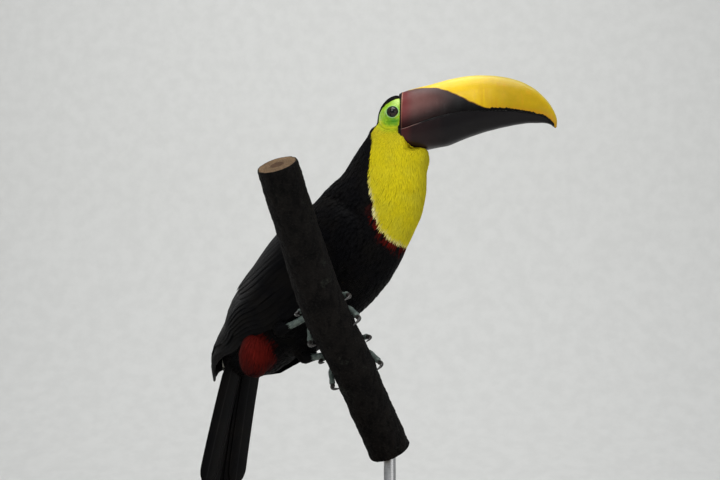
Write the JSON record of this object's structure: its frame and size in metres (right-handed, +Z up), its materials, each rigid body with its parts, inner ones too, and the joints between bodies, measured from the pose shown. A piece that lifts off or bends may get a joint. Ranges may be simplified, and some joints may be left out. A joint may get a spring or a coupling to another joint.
{
  "type": "toucan on a branch perch",
  "caption": "Life-size still model of a yellow-throated toucan gripping a steep cut branch, held over a flat wooden base by a short steel rod.",
  "frame": {"origin": "middle of the stand base's flat underside", "axes": "+Z up, +X the way the bill points along the base's long side, -Y the bird's right side"},
  "size_m": [0.3619, 0.2586, 0.4672],
  "materials": {
    "plumage_black": "soft black feathers with a faint gloss",
    "plumage_breast": "black feathers below the edge of the yellow bib",
    "plumage_bib": "fine bright yellow feathers",
    "plumage_face": "yellow feathers round bare yellow-green skin",
    "plumage_red": "fluffy dark red feathers",
    "plumage_white": "soft white feathers",
    "bill_yellow": "smooth horn, satin gloss",
    "bill_dark": "smooth dark maroon horn, satin gloss",
    "eye": "wet gloss",
    "leg_skin": "scaled blue-grey skin",
    "claw_horn": "dark horn",
    "bark": "rough dark bark",
    "base_wood": "oiled dark wood",
    "rod_steel": "satin"
  },
  "bodies": {
    "root": {"belly": "plumage_black", "bill_lower": "bill_dark", "bill_upper": "bill_yellow", "breast": "plumage_breast", "claw_inner_front_left": "claw_horn", "claw_inner_front_right": "claw_horn", "claw_inner_hind_left": "claw_horn", "claw_inner_hind_right": "claw_horn", "claw_outer_front_left": "claw_horn", "claw_outer_front_right": "claw_horn", "claw_outer_hind_left": "claw_horn", "claw_outer_hind_right": "claw_horn", "eye_left": "eye", "eye_right": "eye", "foot_left": "leg_skin", "foot_right": "leg_skin", "head": "plumage_face", "neck": "plumage_bib", "rump": "plumage_black", "stand_base": "base_wood", "stand_perch": "bark", "stand_rod": "rod_steel", "tail": "plumage_black", "tarsus_left": "leg_skin", "tarsus_right": "leg_skin", "thigh_left": "plumage_black", "thigh_right": "plumage_black", "toe_inner_front_left": "leg_skin", "toe_inner_front_right": "leg_skin", "toe_inner_hind_left": "leg_skin", "toe_inner_hind_right": "leg_skin", "toe_outer_front_left": "leg_skin", "toe_outer_front_right": "leg_skin", "toe_outer_hind_left": "leg_skin", "toe_outer_hind_right": "leg_skin", "undertail_coverts": "plumage_red", "uppertail_coverts": "plumage_white", "wing_left": "plumage_black", "wing_right": "plumage_black"}
  },
  "joints": []
}
